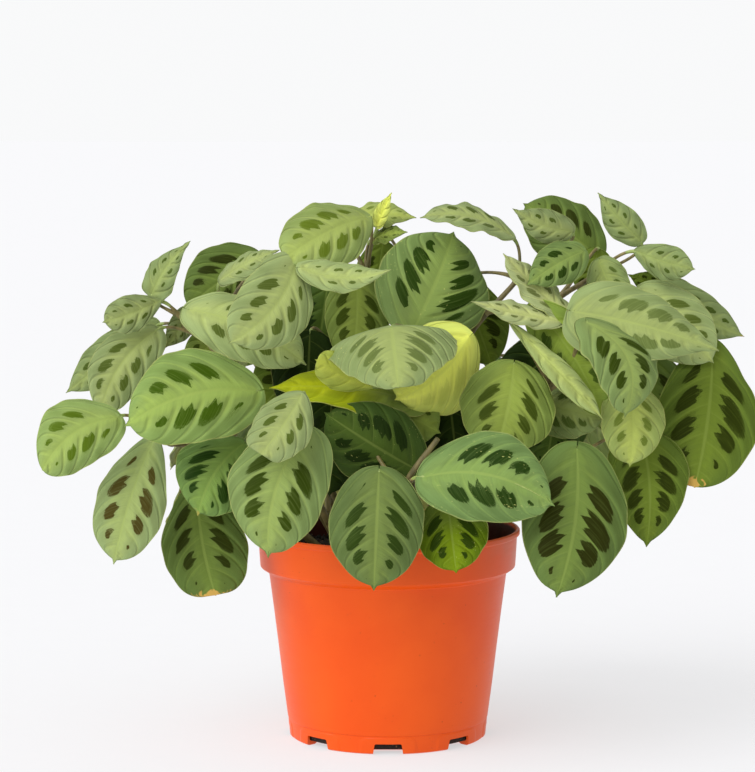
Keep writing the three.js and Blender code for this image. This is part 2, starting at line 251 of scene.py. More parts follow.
bpy.ops.object.select_all(action="DESELECT")
bpy.ops.mesh.primitive_circle_add(
    vertices=POT_SIDES, radius=POT_LINE[0][0] * MM, fill_type="NGON"
)
pot = bpy.context.object
pot.name = "nursery_pot"
bpy.ops.object.mode_set(mode="EDIT")
bpy.ops.mesh.select_all(action="SELECT")
bpy.ops.transform.translate(value=(0, 0, POT_LINE[0][1] * MM))
bpy.ops.mesh.select_mode(type="EDGE")
bpy.ops.mesh.region_to_loop()
for (r_from, z_from), (r_to, z_to) in zip(POT_LINE, POT_LINE[1:]):
    bpy.ops.mesh.extrude_edges_move(
        TRANSFORM_OT_translate={"value": (0, 0, (z_to - z_from) * MM)}
    )
    bpy.ops.transform.resize(value=(r_to / r_from, r_to / r_from, 1))
bpy.ops.mesh.fill()
bpy.ops.mesh.select_all(action="SELECT")
bpy.ops.mesh.normals_make_consistent(inside=False)
bpy.ops.object.mode_set(mode="OBJECT")


def raise_pads(mesh):
    """Lifts a pad with round upper corners out of the foot's wall round each notch."""
    step = 2 * math.pi / NOTCHES
    for vertex in mesh.vertices:
        x, y, z = vertex.co
        radius = math.hypot(x, y)
        if radius < FOOT_R or z > PAD_HEIGHT + 0.3 * MM:
            continue
        angle = (math.atan2(y, x) + math.pi / 2 + step / 2) % step - step / 2
        from_edge = (angle * radius / (PAD_WIDTH / 2)) ** 8 + (z / PAD_HEIGHT) ** 5
        raised = PAD_RAISED * min(1, max(0, (1.02 - from_edge) / 0.25))
        vertex.co.x *= 1 + raised / radius
        vertex.co.y *= 1 + raised / radius


raise_pads(pot.data)

for number in range(NOTCHES):
    bpy.ops.object.select_all(action="DESELECT")
    out = FOOT_R - NOTCH_DEPTH / 2 + CUT_PAST_WALL
    up = NOTCH_HEIGHT / 2 - CUT_PAST_FOOT / 2
    bpy.ops.mesh.primitive_cube_add(size=1, location=(0, -out, up))
    cutter = bpy.context.object
    cutter.scale = (NOTCH_TOP_WIDTH, NOTCH_DEPTH + 2 * CUT_PAST_WALL, NOTCH_HEIGHT + CUT_PAST_FOOT)
    bpy.ops.object.transform_apply(location=True, rotation=True, scale=True)
    for corner in cutter.data.vertices:
        if corner.co.z < 0:
            corner.co.x *= NOTCH_FOOT_WIDTH / NOTCH_TOP_WIDTH
    cutter.rotation_euler.z = number * 2 * math.pi / NOTCHES
    bpy.ops.object.transform_apply(location=True, rotation=True, scale=True)
    round_edges = cutter.modifiers.new("round_edges", "BEVEL")
    round_edges.width = NOTCH_ROUNDING
    round_edges.segments = 3
    bpy.ops.object.modifier_apply(modifier="round_edges")
    notch = pot.modifiers.new("notch", "BOOLEAN")
    notch.operation = "DIFFERENCE"
    notch.object = cutter
    bpy.context.view_layer.objects.active = pot
    bpy.ops.object.modifier_apply(modifier="notch")
    bpy.data.objects.remove(cutter)
bpy.ops.object.select_all(action="DESELECT")
pot.select_set(True)
bpy.context.view_layer.objects.active = pot
bpy.ops.object.shade_smooth_by_angle(angle=POT_CREASE)

plastic = Shader("orange_plastic")
where = plastic.object_place()
cloudy = plastic.noise(where, 18, detail=4)
hue = plastic.mix(plastic.rise(cloudy, 0.3, 0.7), rgb(232, 80, 0), rgb(240, 90, 4))
grains = plastic.noise(where, 900, detail=1)
specks = plastic.rise(grains, 0.775, 0.80)
hue = plastic.mix(plastic.maths("MULTIPLY", specks, 0.8), hue, rgb(110, 40, 15))
height = plastic.add("ShaderNodeSeparateXYZ", {0: where}, output=2)
# The lowest 2 cm turn a little darker and duller in cloudy patches.
foot_darkening = plastic.maths("SUBTRACT", 1, plastic.rise(height, 0.0, 0.02))
foot_darkening = plastic.maths("MULTIPLY", foot_darkening, plastic.rise(cloudy, 0.35, 0.75))
hue = plastic.mix(plastic.maths("MULTIPLY", foot_darkening, 0.2), hue, rgb(196, 80, 30))
# Painted shade: the right side of the band and shoulder turns a duller brownish orange in cloudy patches,
# the side away from the light.
right = plastic.add("ShaderNodeSeparateXYZ", {0: where}, output=0)
painted_right_shade = plastic.maths("MULTIPLY", plastic.rise(right, 0.035, 0.07), plastic.rise(height, 0.06, 0.11))
painted_right_shade = plastic.maths("MULTIPLY", painted_right_shade, plastic.rise(cloudy, 0.25, 0.6))
hue = plastic.mix(plastic.maths("MULTIPLY", painted_right_shade, 0.45), hue, rgb(140, 88, 66))
# Painted shade: the inside wall above the soil is darkened nearly to black, for the shadow inside the
# rim.
facing = plastic.add("ShaderNodeNewGeometry", {}, output="Normal")
sideways = plastic.add("ShaderNodeVectorMath", {0: where, 1: (1, 1, 0)}, operation="MULTIPLY")
inward = plastic.add(
    "ShaderNodeVectorMath", {0: facing, 1: sideways}, output="Value", operation="DOT_PRODUCT"
)
inward = plastic.rise(inward, -0.02, -0.05)
painted_inner_shade = plastic.maths("MULTIPLY", inward, plastic.rise(height, 0.1178, 0.1158))
painted_inner_shade = plastic.maths("MULTIPLY", painted_inner_shade, plastic.rise(cloudy, 0.1, 0.4))
hue = plastic.mix(plastic.maths("MULTIPLY", painted_inner_shade, 0.93), hue, rgb(18, 11, 8))
drawn = plastic.add(
    "ShaderNodeVectorMath", {0: where, 1: (1, 1, 14)}, operation="MULTIPLY"
)
rub = plastic.noise(drawn, 60, detail=3)
sheen = plastic.add("ShaderNodeMapRange", {"Value": rub, "To Min": 0.34, "To Max": 0.46})
fine = plastic.noise(where, 2200, detail=2)
pot.data.materials.append(
    plastic.finish(
        Base_Color=hue,
        Roughness=sheen,
        Specular_IOR_Level=0.28,
        Normal=plastic.bump(fine, 0.03 * MM, 0.4),
    )
)
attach(pot, "root")
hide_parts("pot")

# Potting soil
# Dark, moist peat with bits of bark; its colour is darker than the peat's own, as painted shade under the
# leaves. It fills the pot to 12 mm below the lip, and its top is uneven, with loose crumbs lying on it.
SOIL_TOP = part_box("soil")[1].z
SOIL_SIDES = 96
SOIL_LINE = [(53.5, 2.6), (65.2, 95.5), (69.6, 99.6), (70.6, 103.8), (70.2, 104.8)]
SOIL_RINGS = 26
MIDDLE_SHARE = 0.3
# The size of the top's lumps and how far they rise and sink.
SOIL_LUMPS = ((14 * MM, 3.2 * MM), (3.5 * MM, 1.6 * MM))
CRUMBS = 340
CRUMB_SPREAD = 67 * MM
CRUMB_SUNK = 0.6 * MM
scatter = np.random.default_rng(7)

bpy.ops.object.select_all(action="DESELECT")
bpy.ops.mesh.primitive_circle_add(vertices=SOIL_SIDES, radius=SOIL_LINE[0][0] * MM, fill_type="NGON")
soil = bpy.context.object
soil.name = "potting_soil"
bpy.ops.object.mode_set(mode="EDIT")
bpy.ops.mesh.select_all(action="SELECT")
bpy.ops.transform.translate(value=(0, 0, SOIL_LINE[0][1] * MM))
bpy.ops.mesh.select_mode(type="EDGE")
bpy.ops.mesh.region_to_loop()
for (r_from, z_from), (r_to, z_to) in zip(SOIL_LINE, SOIL_LINE[1:]):
    bpy.ops.mesh.extrude_edges_move(
        TRANSFORM_OT_translate={"value": (0, 0, (z_to - z_from) * MM)}
    )
    bpy.ops.transform.resize(value=(r_to / r_from, r_to / r_from, 1))
for ring in range(SOIL_RINGS, 0, -1):
    share = (ring - 0.5) / ring if ring > 1 else MIDDLE_SHARE
    bpy.ops.mesh.extrude_edges_move(TRANSFORM_OT_translate={"value": (0, 0, 0)})
    bpy.ops.transform.resize(value=(share, share, 1))
bpy.ops.mesh.fill()
bpy.ops.mesh.select_all(action="SELECT")
bpy.ops.mesh.normals_make_consistent(inside=False)
bpy.ops.object.mode_set(mode="OBJECT")
top_group = soil.vertex_groups.new(name="top")
top_group.add([v.index for v in soil.data.vertices if v.co.z > SOIL_TOP - 1.5 * MM], 1, "REPLACE")
for size, lift in SOIL_LUMPS:
    lumps = bpy.data.textures.new("lumps", "CLOUDS")
    lumps.noise_scale = size
    uneven = soil.modifiers.new("uneven", "DISPLACE")
    uneven.texture = lumps
    uneven.texture_coords = "LOCAL"
    uneven.direction = "Z"
    uneven.strength = lift
    uneven.mid_level = 0.7
    uneven.vertex_group = "top"
    bpy.context.view_layer.objects.active = soil
    bpy.ops.object.modifier_apply(modifier="uneven")

crumb_parts = []
for number in range(CRUMBS):
    radius = CRUMB_SPREAD * math.sqrt(scatter.random())
    angle = scatter.random() * 2 * math.pi
    size = (0.9 + 1.9 * scatter.random() ** 2) * MM
    bpy.ops.mesh.primitive_ico_sphere_add(
        subdivisions=1,
        radius=size,
        location=(radius * math.cos(angle), radius * math.sin(angle), SOIL_TOP - CRUMB_SUNK),
        rotation=tuple(scatter.random(3) * math.pi),
    )
    crumb = bpy.context.object
    crumb.scale = (0.7 + 0.9 * scatter.random(), 0.7 + 0.4 * scatter.random(), 0.5)
    crumb_parts.append(crumb)
bpy.ops.object.select_all(action="DESELECT")
for crumb in crumb_parts:
    crumb.select_set(True)
soil.select_set(True)
bpy.context.view_layer.objects.active = soil
bpy.ops.object.join()
bpy.ops.object.transform_apply(location=True, rotation=True, scale=True)
soil.data.polygons.foreach_set("use_smooth", [False] * len(soil.data.polygons))

peat = Shader("moist_peat")
where = peat.object_place()
patches = peat.noise(where, 160, detail=5, roughness=0.7)
# Near-black browns: the peat's own dark colour with painted shade added.
hue = peat.mix(peat.rise(patches, 0.35, 0.65), rgb(14, 9, 6), rgb(44, 30, 20))
fibres = peat.noise(peat.add("ShaderNodeVectorMath", {0: where, 1: (3, 1, 1)}, operation="MULTIPLY"), 420)
hue = peat.mix(peat.rise(fibres, 0.66, 0.72), hue, rgb(120, 88, 60))
soil.data.materials.append(
    peat.finish(Base_Color=hue, Roughness=0.92, Normal=peat.bump(patches, 1.2 * MM, 0.8))
)
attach(soil, "root")
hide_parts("soil")

# Leaf blades
# Each blade is broad and oval with a short point. Side veins leave the midrib
# and bend toward the tip. Between them sit dark marks with a ragged inner end,
# like a rabbit's tracks, and a pale feathered band runs along midrib and veins.
BLADE_THICK = 0.45 * MM
BLADE_CREASE = math.radians(50)
BLADE_DROOP = 0.32
# The height of the margin's waves, of the swelling between the veins and of the
# channel along the midrib, and how wide that channel is, in mm.
MARGIN_WAVE = 1.0
VEIN_SWELLING = 0.85
CHANNEL_DEPTH = 0.15
CHANNEL_WIDTH = 1.3
COLUMNS, ROWS = 26, 48
POINTED_END, BLUNT_END = 0.958, 0.995
SMALL_LENGTH, LARGE_LENGTH = 30 * MM, 65 * MM
SMALL_VEIN_PAIRS, LARGE_VEIN_PAIRS = 3.7, 4.9

bpy.ops.object.select_all(action="DESELECT")
bpy.ops.mesh.primitive_grid_add(x_subdivisions=COLUMNS, y_subdivisions=ROWS, size=2)
flat_blade = bpy.context.object
flat_blade.name = "flat_blade"
flat_places = np.array([vertex.co.xy for vertex in flat_blade.data.vertices])
ACROSS = flat_places[:, 0] * (0.6 + 0.4 * np.abs(flat_places[:, 0]))
ALONG = 0.5 + 0.5 * np.sin(flat_places[:, 1] * math.pi / 2)
inside_low, inside_high = np.array(cad_low) + 0.6 * MM, np.array(cad_high) - 0.6 * MM


def blade_outline(along, widest, narrowing, blunt):
    """Half width along the blade, 1 at its widest: a rounded base and a short narrow point."""
    end = BLUNT_END if blunt else POINTED_END
    stretch = math.log(0.5) / math.log(widest)
    body = np.sin(np.pi * np.clip(along / end, 0, 1) ** stretch)
    body = np.maximum(body, 1e-9) ** (0.44 + (0.06 + 0.7 * narrowing) * along)
    point = 0 if blunt else 0.13 * np.clip((1 - along) / (1.03 - end), 0, 1)
    return np.maximum(np.maximum(body, point * (along > 0.5)), 0.015)


def blade_surface(leaf, along, across, lift=0.0):
    """Points on a leaf's arched, folded and waved surface, and where its veins run."""
    axis = leaf["tip"] - leaf["base"]
    length = np.linalg.norm(axis)
    axis = axis / length
    upright = leaf["face"] - axis * (leaf["face"] @ axis)
    upright /= np.linalg.norm(upright)
    roll = math.radians(leaf["roll"])
    normal = upright * math.cos(roll) + np.cross(axis, upright) * math.sin(roll)
    side = np.cross(axis, normal)
    own = 2 * np.pi * leaf["seed"]
    out = np.abs(across)
    uneven = 1 + 0.022 * np.sin(9 * along + own + np.sign(across)) * out
    uneven += 0.012 * np.sin(23 * along + 3 * own + 2 * np.sign(across)) * out
    outline = blade_outline(along, leaf["widest"], leaf["narrowing"], leaf["blunt"])
    half = leaf["width"] / 2 * outline * uneven
    bow = 4 * along * (1 - along)
    reach = out * half / length
    pairs = np.interp(
        length, [SMALL_LENGTH, LARGE_LENGTH], [SMALL_VEIN_PAIRS, LARGE_VEIN_PAIRS]
    )
    vein = pairs * (along - 0.42 * reach - 1.3 * reach**2 - 0.12 * out**6)
    vein += leaf["seed"] + 0.13 * np.sign(across)
    curl = half * (leaf["fold"] * out - BLADE_DROOP * across**2)
    wave = np.sin(2 * np.pi * (2.7 * along + 0.37 * np.sign(across) + leaf["seed"]))
    wave += 0.6 * np.sin(2 * np.pi * (5.3 * along + 0.2 * np.sign(across)) + 5 * own)
    wave *= out**4 * np.minimum(1, half / 0.012) * MARGIN_WAVE * MM
    quilt = (np.abs(np.sin(np.pi * vein)) - 0.64) * out**0.6 * (1 - out**5)
    quilt *= VEIN_SWELLING * MM
    channel = np.exp(-((across * half / (CHANNEL_WIDTH * MM)) ** 2)) * -CHANNEL_DEPTH * MM
    height = bow * length * leaf["arch"] + curl + wave + (quilt + channel) * bow + lift
    set_back = 0.055 * across**2 * np.clip(1 - along / 0.2, 0, 1) ** 2
    points = (
        leaf["base"]
        + np.outer((along - set_back) * length, axis)
        + np.outer(half * across + bow * leaf["sway"], side)
        + np.outer(height, normal)
    )
    return np.clip(points, inside_low, inside_high), vein


def write_vector(mesh, name, values):
    attribute = mesh.attributes.new(name, "FLOAT_VECTOR", "POINT")
    attribute.data.foreach_set("vector", np.asarray(values, np.float32).ravel())


# How each tone of leaf looks from above: the blade, the marks, how strong the
# marks are, how yellow the paler bands turn, and how large the marks are.
TONES = {
    "sage": (rgb(150, 162, 102), rgb(72, 88, 22), 0.95, 0.3, 0.85),
    "chalk": (rgb(160, 173, 108), rgb(78, 94, 28), 0.95, 0.3, 0.9),
    "dusk": (rgb(139, 153, 94), rgb(66, 84, 20), 0.95, 0.3, 0.9),
    "olive": (rgb(132, 148, 68), rgb(54, 68, 6), 0.95, 0.4, 0.95),
    "lime": (rgb(142, 164, 86), rgb(62, 88, 8), 1, 0.5, 0.95),
    "leaf": (rgb(150, 170, 94), rgb(84, 108, 20), 1, 0.5, 0.85),
    "mid": (rgb(134, 152, 86), rgb(50, 66, 4), 1, 0.4, 1.05),
    "cool": (rgb(119, 143, 78), rgb(34, 56, 8), 1, 0.4, 1.05),
    "rust": (rgb(154, 170, 106), rgb(74, 66, 22), 1, 0.3, 0.95),
    "fern": (rgb(104, 124, 60), rgb(42, 46, 4), 1, 0.3, 1.2),
    "dark": (rgb(100, 119, 54), rgb(42, 50, 4), 1, 0.3, 1),
    "green": (rgb(119, 146, 74), rgb(32, 58, 8), 1, 0.4, 1.1),
    "jade": (rgb(125, 145, 78), rgb(38, 60, 6), 1, 0.4, 1.15),
    "pale": (rgb(143, 157, 92), rgb(74, 92, 30), 0.95, 0.4, 0.95),
    "grey": (rgb(104, 121, 64), rgb(42, 60, 12), 1, 0.3, 1.05),
    "yellow": (rgb(160, 172, 92), rgb(84, 102, 22), 0.8, 0.6, 0.8),
    "cream": (rgb(180, 188, 124), rgb(84, 96, 36), 0.85, 0.4, 0.9),
    "leek": (rgb(126, 146, 58), rgb(50, 72, 8), 0.9, 0.6, 0.95),
    # The next tone is partly a young leaf's pale yellow and partly painted light, brightened for the glow
    # of a backlit leaf that lies in another's shadow.
    "gold": (rgb(216, 222, 104), rgb(150, 166, 60), 0.2, 0.6, 1),
    "spring": (rgb(154, 169, 94), rgb(92, 112, 20), 0.95, 0.5, 0.95),
    "ash": (rgb(147, 160, 98), rgb(84, 100, 42), 0.8, 0.2, 1.05),
    "honey": (rgb(188, 197, 84), rgb(130, 146, 50), 0.1, 0.6, 1),
    "rim": (rgb(168, 180, 106), rgb(120, 136, 60), 0.1, 0.4, 0.6),
    "lemon": (rgb(162, 170, 26), rgb(108, 126, 26), 0.15, 0.7, 1),
    # The next two tones are painted shade: far darker than a leaf's own green, they stand for the dark
    # inside of the plant, and the filler leaves in them close gaps where only shade shows.
    "deep": (rgb(72, 93, 36), rgb(22, 40, 4), 0.9, 0.3, 1.1),
    "shade": (rgb(36, 52, 14), rgb(16, 26, 2), 0.6, 0.3, 1),
    "bright": (rgb(110, 132, 20), rgb(36, 56, 2), 0.95, 0.8, 1.1),
    "moss": (rgb(105, 124, 44), rgb(44, 54, 4), 1, 0.3, 1.15),
}


def make_blade(leaf):
    """A copy of the flat blade, bent onto the leaf's own surface."""
    mesh = flat_blade.data.copy()
    points, vein = blade_surface(leaf, ALONG, ACROSS)
    mesh.vertices.foreach_set("co", points.astype(np.float32).ravel())
    count = len(mesh.vertices)
    blade, marks, strength, yellow, mark_size = TONES[leaf["tone"]]
    base_blade = TONES[leaf["base_tone"]][0]
    from_base = np.clip((ALONG - 0.25) / 0.25, 0, 1)[:, None]
    write_vector(mesh, "leaf_place", np.stack([ACROSS, ALONG, vein], axis=1))
    write_vector(mesh, "leaf_colour", from_base * blade + (1 - from_base) * base_blade)
    write_vector(mesh, "leaf_marks", np.tile(marks, (count, 1)))
    write_vector(mesh, "leaf_traits", np.tile((strength, yellow, leaf["seed"]), (count, 1)))
    extras = (leaf["flecks"], leaf["scorch"], mark_size * leaf["mark_size"])
    write_vector(mesh, "leaf_extras", np.tile(extras, (count, 1)))
    blade_object = bpy.data.objects.new("blade", mesh)
    bpy.context.scene.collection.objects.link(blade_object)
    return blade_object


def leaf_finish(name, underside):
    """The blade's satin skin. The underside is paler, and the marks barely show through."""
    skin = Shader(name)
    _, across, along, vein = skin.attribute("leaf_place")
    colour, *_ = skin.attribute("leaf_colour")
    mark_colour, *_ = skin.attribute("leaf_marks")
    _, mark_strength, yellow, seed = skin.attribute("leaf_traits")
    _, fleckiness, scorching, mark_scale = skin.attribute("leaf_extras")
    out = skin.maths("ABSOLUTE", across)
    which_side = skin.maths("SIGN", across)
    own = skin.maths("MULTIPLY", seed, 17)

    # Streaks run along the side veins: broad ones, fine ones, and cloudy patches.
    streaks = skin.noise(skin.vector(skin.maths("MULTIPLY", vein, 4), across, own), 1.6)
    fine = skin.noise(skin.vector(skin.maths("MULTIPLY", vein, 16), across, own), 1.6)
    broad = skin.noise(skin.vector(along, across, own), 2.6, detail=3)
    ragged = skin.maths("SUBTRACT", streaks, 0.5)
    hairy = skin.maths("SUBTRACT", fine, 0.5)

    # Each field between two veins has its own chances for the size and place of its mark.
    field = skin.vector(skin.maths("FLOOR", vein), which_side, own)
    chances = skin.add("ShaderNodeTexWhiteNoise", {"Vector": field}, output="Color")
    split = skin.tree.nodes.new("ShaderNodeSeparateXYZ")
    skin.tree.links.new(chances, split.inputs[0])
    chance_size, chance_length, chance_teeth = split.outputs
    off_middle = skin.maths("SUBTRACT", skin.maths("FRACT", vein), 0.5)
    to_vein = skin.maths("MULTIPLY", skin.maths("ABSOLUTE", off_middle), 2)

    # A mark is a rounded patch between two veins. Its inner end has two or three
    # teeth, and the marks are smaller toward both ends of the blade.
    from_base = skin.rise(along, 0.06, 0.32)
    from_tip = skin.maths("SUBTRACT", 1, skin.rise(along, 0.64, 0.96))
    bulk = skin.maths("MULTIPLY", from_base, from_tip)
    bulk = skin.maths("MAXIMUM", skin.maths("MULTIPLY", bulk, mark_scale), 0.02)
    teeth = skin.maths("MULTIPLY_ADD", vein, 2.7, chance_teeth)
    teeth = skin.maths("MULTIPLY", skin.maths("PINGPONG", teeth, 0.5), 2)
    notched = skin.maths("SUBTRACT", 1, skin.maths("MULTIPLY", teeth, 0.62))
    centre = skin.maths("MULTIPLY_ADD", chance_teeth, 0.06, 0.39)
    past = skin.maths("SUBTRACT", skin.maths("MULTIPLY_ADD", ragged, 0.08, out), centre)
    half_length = skin.maths("MULTIPLY_ADD", chance_length, 0.08, 0.2)
    half_length = skin.maths("MULTIPLY", half_length, bulk)
    outward = skin.maths("DIVIDE", skin.maths("MAXIMUM", past, 0), half_length)
    inward = skin.maths("MAXIMUM", skin.maths("MULTIPLY", past, -1), 0)
    inward = skin.maths("DIVIDE", inward, skin.maths("MULTIPLY", half_length, notched))
    sideways = skin.maths("MULTIPLY_ADD", chance_size, 0.28, 0.6)
    sideways = skin.maths("DIVIDE", to_vein, skin.maths("MULTIPLY", sideways, bulk))
    patch = skin.maths("POWER", skin.maths("ADD", outward, inward), 2.4)
    patch = skin.maths("ADD", patch, skin.maths("POWER", sideways, 2.4))
    patch = skin.maths("MULTIPLY_ADD", hairy, 0.9, patch)
    marks = skin.maths("MULTIPLY", skin.rise(patch, 1.15, 0.85), mark_strength)

    # The pale feather: a band along the midrib, and arms along the side veins.
    band_edge = skin.maths("MULTIPLY_ADD", teeth, 0.08, 0.16)
    band = skin.maths("SUBTRACT", band_edge, out)
    band = skin.rise(band, -0.1, 0.05)
    arms = skin.rise(skin.maths("MULTIPLY_ADD", hairy, 0.3, to_vein), 0.6, 0.92)
    arm_end = skin.maths("SUBTRACT", 1, skin.rise(out, 0.3, 0.72))
    feather = skin.maths("MAXIMUM", band, skin.maths("MULTIPLY", arms, arm_end))
    thin_arms = skin.maths("MULTIPLY", skin.rise(to_vein, 0.72, 1.0), 0.45)
    feather = skin.maths("MAXIMUM", feather, thin_arms)
    feather = skin.maths("MULTIPLY", feather, skin.rise(streaks, 0.1, 0.6))
    paler = skin.mix(1.0, colour, (1.17, 1.16, 1.08), way="MULTIPLY")
    golden = skin.mix(1.0, colour, (1.17, 1.18, 0.95), way="MULTIPLY")
    pale_band = skin.mix(yellow, paler, golden)
    greener = skin.mix(1.0, colour, (0.9, 0.95, 1.04), way="MULTIPLY")
    hue = skin.mix(skin.rise(out, 0.3, 0.8), colour, greener)
    hue = skin.mix(skin.maths("MULTIPLY", feather, 0.85), hue, pale_band)

    # Past each mark its field stays a shade darker, out to the margin.
    shadow = skin.maths("MULTIPLY", skin.rise(out, 0.2, 0.5), skin.rise(to_vein, 0.9, 0.2))
    shadow = skin.maths("MULTIPLY", shadow, skin.maths("MULTIPLY", bulk, 0.26))
    hue = skin.mix(shadow, hue, mark_colour)

    lighter_mark = skin.mix(0.18, mark_colour, colour)
    mark_hue = skin.mix(skin.rise(fine, 0.45, 0.75), mark_colour, lighter_mark)
    if underside:
        hue = skin.mix(0.5, hue, rgb(150, 165, 100))
        marks = skin.maths("MULTIPLY", marks, 0.3)
    hue = skin.mix(marks, hue, mark_hue)

    # Fine lines beside the veins, cloudy patches, the vein lines, midrib and margin.
    lines = skin.add("ShaderNodeMapRange", {"Value": fine, "To Min": 0.88, "To Max": 1.12})
    hue = skin.mix(1.0, hue, skin.vector(lines, lines, lines), way="MULTIPLY")
    clouds = skin.add("ShaderNodeMapRange", {"Value": broad, "To Min": 0.78, "To Max": 1.22})
    hue = skin.mix(1.0, hue, skin.vector(clouds, clouds, clouds), way="MULTIPLY")
    vein_line = skin.maths("MULTIPLY", skin.rise(to_vein, 0.9, 1.0), skin.rise(out, 1.0, 0.4))
    midrib = skin.maths("SUBTRACT", 1, skin.rise(out, 0.012, 0.05))
    ribs = skin.maths("MAXIMUM", skin.maths("MULTIPLY", vein_line, 0.4), midrib)
    rib_colour = skin.mix(0.3, pale_band, rgb(172, 188, 98))
    hue = skin.mix(skin.maths("MULTIPLY", ribs, 0.6), hue, rib_colour)
    margin = skin.rise(skin.maths("MULTIPLY_ADD", hairy, 0.02, out), 0.972, 0.99)
    margin = skin.maths("MULTIPLY", margin, skin.maths("MULTIPLY_ADD", yellow, 0.5, 0.15))
    hue = skin.mix(margin, hue, rgb(190, 190, 112))

    # Blemishes: pale flecks in the outer half, and a scorched tip.
    dots = skin.noise(skin.vector(along, across, own), 42, detail=0)
    dots = skin.maths("MULTIPLY", skin.rise(dots, 0.78, 0.82), skin.rise(broad, 0.45, 0.6))
    hue = skin.mix(skin.maths("MULTIPLY", dots, fleckiness), hue, rgb(216, 218, 130))
    from_patch = skin.add(
        "ShaderNodeVectorMath",
        {0: skin.vector(skin.maths("MULTIPLY", across, 0.05), along, 0), 1: (0.01, 0.99, 0)},
        output="Value",
        operation="DISTANCE",
    )
    burnt = skin.rise(skin.maths("MULTIPLY_ADD", ragged, 0.12, from_patch), 0.045, 0.03)
    hue = skin.mix(skin.maths("MULTIPLY", burnt, scorching), hue, rgb(206, 166, 84))

    grooves = skin.maths("MULTIPLY", skin.rise(to_vein, 0.6, 1.0), skin.rise(out, 0.05, 0.3))
    relief = skin.maths("MULTIPLY_ADD", grooves, -1.0, skin.maths("MULTIPLY", fine, 0.2))
    return skin.finish(
        Base_Color=hue,
        Roughness=skin.add("ShaderNodeMapRange", {"Value": streaks, "To Min": 0.46, "To Max": 0.62}),
        Specular_IOR_Level=0.06,
        Normal=skin.bump(relief, (-0.7 if underside else 0.7) * MM, 0.9),
    )


leaf_top = leaf_finish("leaf_top", underside=False)
leaf_under = leaf_finish("leaf_under", underside=True)

# Stems and petioles
# Thin round stems rise from the soil. A petiole leaves the stem in a short
# sheath, thins out, swells to a pale joint under the blade and runs on beneath
# it as the raised midrib.
STEM_NODES = 7
POINTS_PER_NODE = 4
STEM_R = 2.2 * MM
STEM_TAPER = (1.12, 0.65)
STEM_SUNK = 9 * MM
PETIOLE_POINTS = 22
PETIOLE_R = 0.9 * MM
SHEATH_R = 1.7 * MM
JOINT_R = 1.1 * MM
JOINT_LENGTH = 8 * MM
# Where the raised midrib's points lie along the blade.
RIB_ALONG = np.array([0.02, 0.06, 0.12, 0.2, 0.32, 0.45, 0.58, 0.7, 0.8, 0.88])


def smooth_stem(points):
    """Evenly spaced points on a smooth line through the given ones."""
    given = [Vector(p) for p in points]
    ends = [2 * given[0] - given[1], *given, 2 * given[-1] - given[-2]]
    dense = []
    for before, start, stop, after in zip(ends, ends[1:], ends[2:], ends[3:]):
        first = start + (stop - before) / 6
        second = stop - (after - start) / 6
        dense += interpolate_bezier(start, first, second, stop, 24)[:-1]
    dense.append(given[-1])
    dense = np.array(dense)
    lengths = np.concatenate([[0], np.cumsum(np.linalg.norm(np.diff(dense, axis=0), axis=1))])
    steps = np.linspace(0, lengths[-1], POINTS_PER_NODE * STEM_NODES + 1)
    return np.stack([np.interp(steps, lengths, dense[:, i]) for i in range(3)], axis=1)


def stalk_finish(name, dark, light, scale):
    stalk = Shader(name)
    where = stalk.object_place()
    stretched = stalk.add("ShaderNodeVectorMath", {0: where, 1: (1, 1, 0.25)}, operation="MULTIPLY")
    streaks = stalk.noise(stretched, scale, detail=3)
    hue = stalk.mix(stalk.rise(streaks, 0.3, 0.7), dark, light)
    return stalk.finish(
        Base_Color=hue,
        Roughness=0.5,
        Normal=stalk.bump(streaks, 0.15 * MM, 0.5),
    )


stem_skin = stalk_finish("stem_skin", rgb(84, 78, 40), rgb(126, 112, 66), 260)
petiole_skin = stalk_finish("petiole_skin", rgb(98, 92, 46), rgb(140, 126, 76), 300)
joint_skin = stalk_finish("joint_skin", rgb(128, 148, 70), rgb(166, 182, 102), 300)


def add_stalk(curve, points, radii, material_index):
    spline = curve.splines.new("POLY")
    spline.points.add(len(points) - 1)
    for knot, place, radius in zip(spline.points, points, radii):
        knot.co = (*place, 1)
        knot.radius = radius
    spline.material_index = material_index
    spline.use_smooth = True


